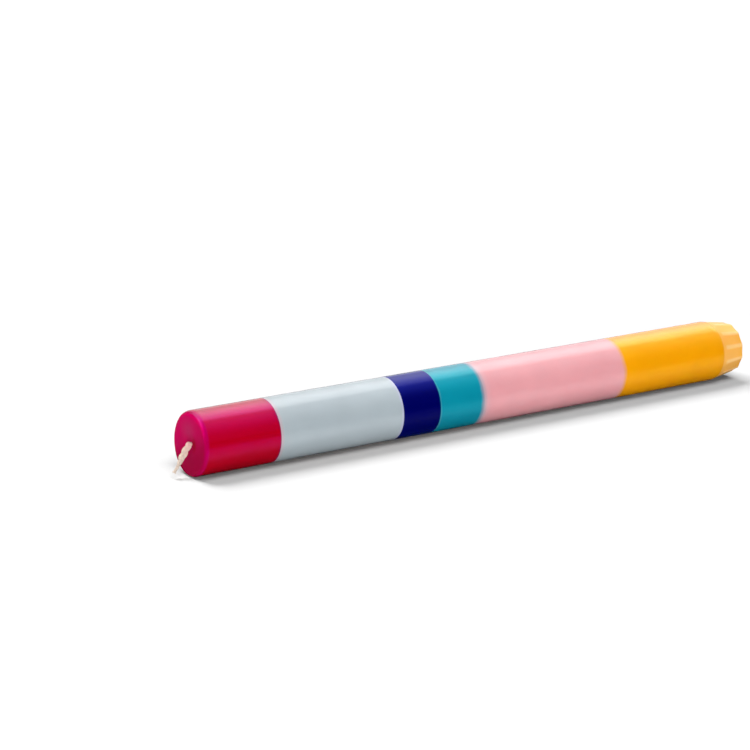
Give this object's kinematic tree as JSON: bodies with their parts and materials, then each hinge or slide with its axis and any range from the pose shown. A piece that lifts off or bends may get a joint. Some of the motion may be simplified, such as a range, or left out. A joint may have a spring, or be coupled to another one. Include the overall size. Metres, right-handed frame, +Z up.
{
  "type": "taper candle",
  "caption": "Straight taper candle in bands of dyed wax on one flat braided wick, with a rounded wick end and a pared, fluted foot that seats in a candle holder.",
  "frame": {"origin": "on the surface that the candle lies on, under the middle of the wax body", "axes": "+Z up, +X along the candle from the wick end to the foot, +Y to the left when looking towards the foot"},
  "size_m": [0.2355, 0.022, 0.022],
  "materials": {
    "magenta_wax": "glossy poured wax, dyed through, slightly translucent",
    "ice_blue_wax": "glossy poured wax, dyed through, slightly translucent",
    "navy_wax": "glossy poured wax, dyed through",
    "turquoise_wax": "glossy poured wax, dyed through, slightly translucent",
    "pink_wax": "glossy poured wax, dyed through, slightly translucent",
    "yellow_wax": "glossy poured wax, dyed through, paler and satin where the foot is pared",
    "wick_cotton": "braided cotton, lightly waxed"
  },
  "bodies": {
    "root": {"magenta_layer": "magenta_wax", "ice_blue_layer": "ice_blue_wax", "navy_layer": "navy_wax", "turquoise_layer": "turquoise_wax", "pink_layer": "pink_wax", "yellow_layer": "yellow_wax", "wick": "wick_cotton"}
  },
  "joints": []
}
